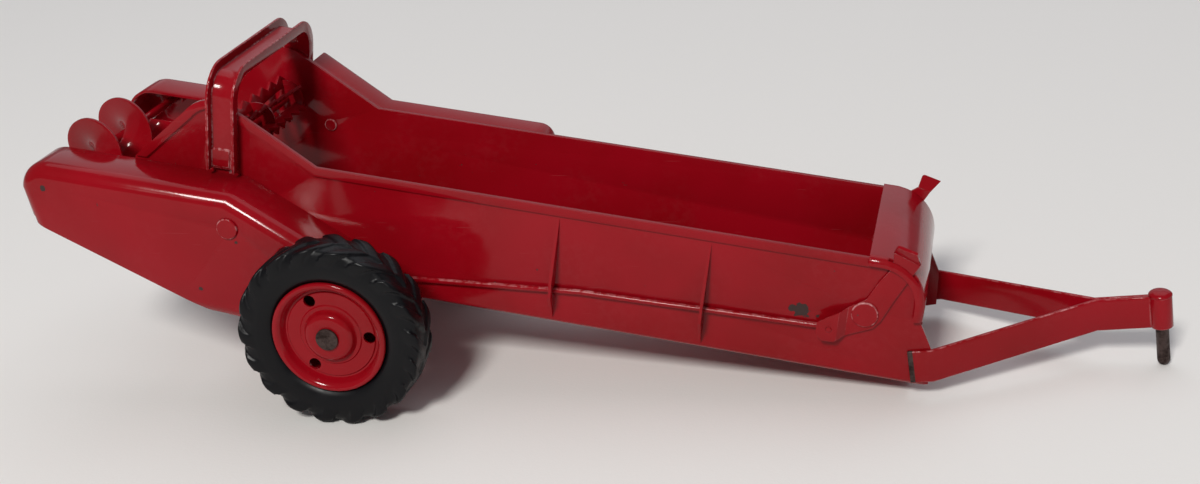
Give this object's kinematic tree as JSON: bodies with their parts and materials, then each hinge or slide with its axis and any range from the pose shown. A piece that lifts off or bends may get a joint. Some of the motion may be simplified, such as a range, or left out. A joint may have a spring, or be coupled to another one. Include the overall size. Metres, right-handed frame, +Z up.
{
  "type": "toy manure spreader",
  "caption": "Pressed-steel toy manure spreader with a long open box, turning wheels, toothed beater and rear distributor, and a tongue with a hitch pin.",
  "frame": {"origin": "middle of the bottom of the bounding box, on the surface that the toy stands on", "axes": "+X forward, towards the hitch pin; +Y to the toy's left; +Z up; the toy stands as it parks, nose low on its hitch pin"},
  "size_m": [0.359, 0.124, 0.1082],
  "materials": {
    "red_enamel": "glossy enamel, worn",
    "bare_steel": "dull, darkened",
    "black_rubber": "matte, dusty"
  },
  "bodies": {
    "frame": {"arch": "red_enamel", "axle": "bare_steel", "cover_left": "red_enamel", "cover_right": "red_enamel", "front_panel": "red_enamel", "hitch_pin": "bare_steel", "lever_left": "red_enamel", "lever_right": "red_enamel", "pivot_left": "red_enamel", "pivot_right": "red_enamel", "rod_left": "red_enamel", "rod_right": "red_enamel", "stud_left": "red_enamel", "stud_right": "red_enamel", "tongue": "red_enamel", "tub": "red_enamel"},
    "wheel_right": {"rim_right": "red_enamel", "tyre_right": "black_rubber"},
    "wheel_left": {"rim_left": "red_enamel", "tyre_left": "black_rubber"},
    "beater": {"beater": "red_enamel"},
    "distributor": {"distributor": "red_enamel"}
  },
  "joints": [
    {"name": "wheel_right_turn", "type": "hinge", "parent": "frame", "child": "wheel_right", "pos_m": [-0.07393, -0.0545, 0.03], "axis": [0, 1, 0], "continuous": true},
    {"name": "wheel_left_turn", "type": "hinge", "parent": "frame", "child": "wheel_left", "pos_m": [-0.07393, 0.0545, 0.03], "axis": [0, 1, 0], "continuous": true},
    {"name": "beater_turn", "type": "hinge", "parent": "frame", "child": "beater", "pos_m": [-0.11546, 0, 0.07957], "axis": [0, 1, 0], "continuous": true},
    {"name": "distributor_turn", "type": "hinge", "parent": "frame", "child": "distributor", "pos_m": [-0.16627, 0, 0.07437], "axis": [0, 1, 0], "continuous": true}
  ]
}
